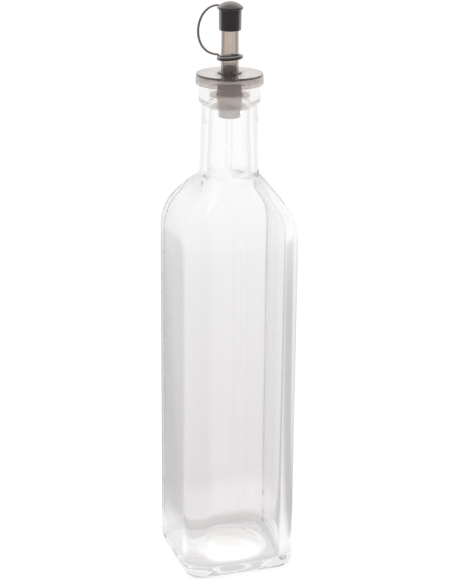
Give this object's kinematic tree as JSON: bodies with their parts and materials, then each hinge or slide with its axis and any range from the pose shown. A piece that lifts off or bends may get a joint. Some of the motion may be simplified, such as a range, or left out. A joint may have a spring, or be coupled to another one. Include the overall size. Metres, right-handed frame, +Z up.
{
  "type": "glass oil bottle with pourer",
  "caption": "Square clear-glass bottle for oil or vinegar, with a press-in pourer, a soft stopper, an air tube and a tethered cap.",
  "frame": {"origin": "middle of the face that the bottle stands on", "axes": "+Z up along the neck; X and Y square to the flat sides of the body"},
  "size_m": [0.058, 0.058, 0.2915],
  "materials": {
    "clear_glass": "smooth, polished by fire",
    "smoke_plastic": "glossy, tinted, see-through",
    "milky_plastic": "soft, cloudy, half see-through",
    "dark_insert": "glossy, tinted",
    "clear_plastic": "clear, smooth",
    "charcoal_plastic": "soft, satin"
  },
  "bodies": {
    "bottle": {"glass_bottle": "clear_glass"},
    "stopper": {"stopper_sleeve": "milky_plastic"},
    "pourer": {"pourer_body": "smoke_plastic", "tube_carrier": "dark_insert", "breather_tube": "clear_plastic"},
    "ring": {"tether_ring": "charcoal_plastic", "tether_strap": "charcoal_plastic"},
    "cap": {"cap": "charcoal_plastic"}
  },
  "joints": [
    {"name": "stopper_pull", "type": "slide", "parent": "bottle", "child": "stopper", "axis": [0, 0, 1], "range_m": [0, 0.05]},
    {"name": "pourer_turn", "type": "hinge", "parent": "stopper", "child": "pourer", "pos_m": [0, 0, 0.25], "axis": [0, 0, 1], "continuous": true},
    {"name": "ring_turn", "type": "hinge", "parent": "pourer", "child": "ring", "pos_m": [0, 0, 0.2646], "axis": [0, 0, 1], "continuous": true},
    {"name": "cap_pull", "type": "slide", "parent": "ring", "child": "cap", "axis": [0, 0, 1], "range_m": [0, 0.011], "deforming": ["tether_strap"]}
  ]
}
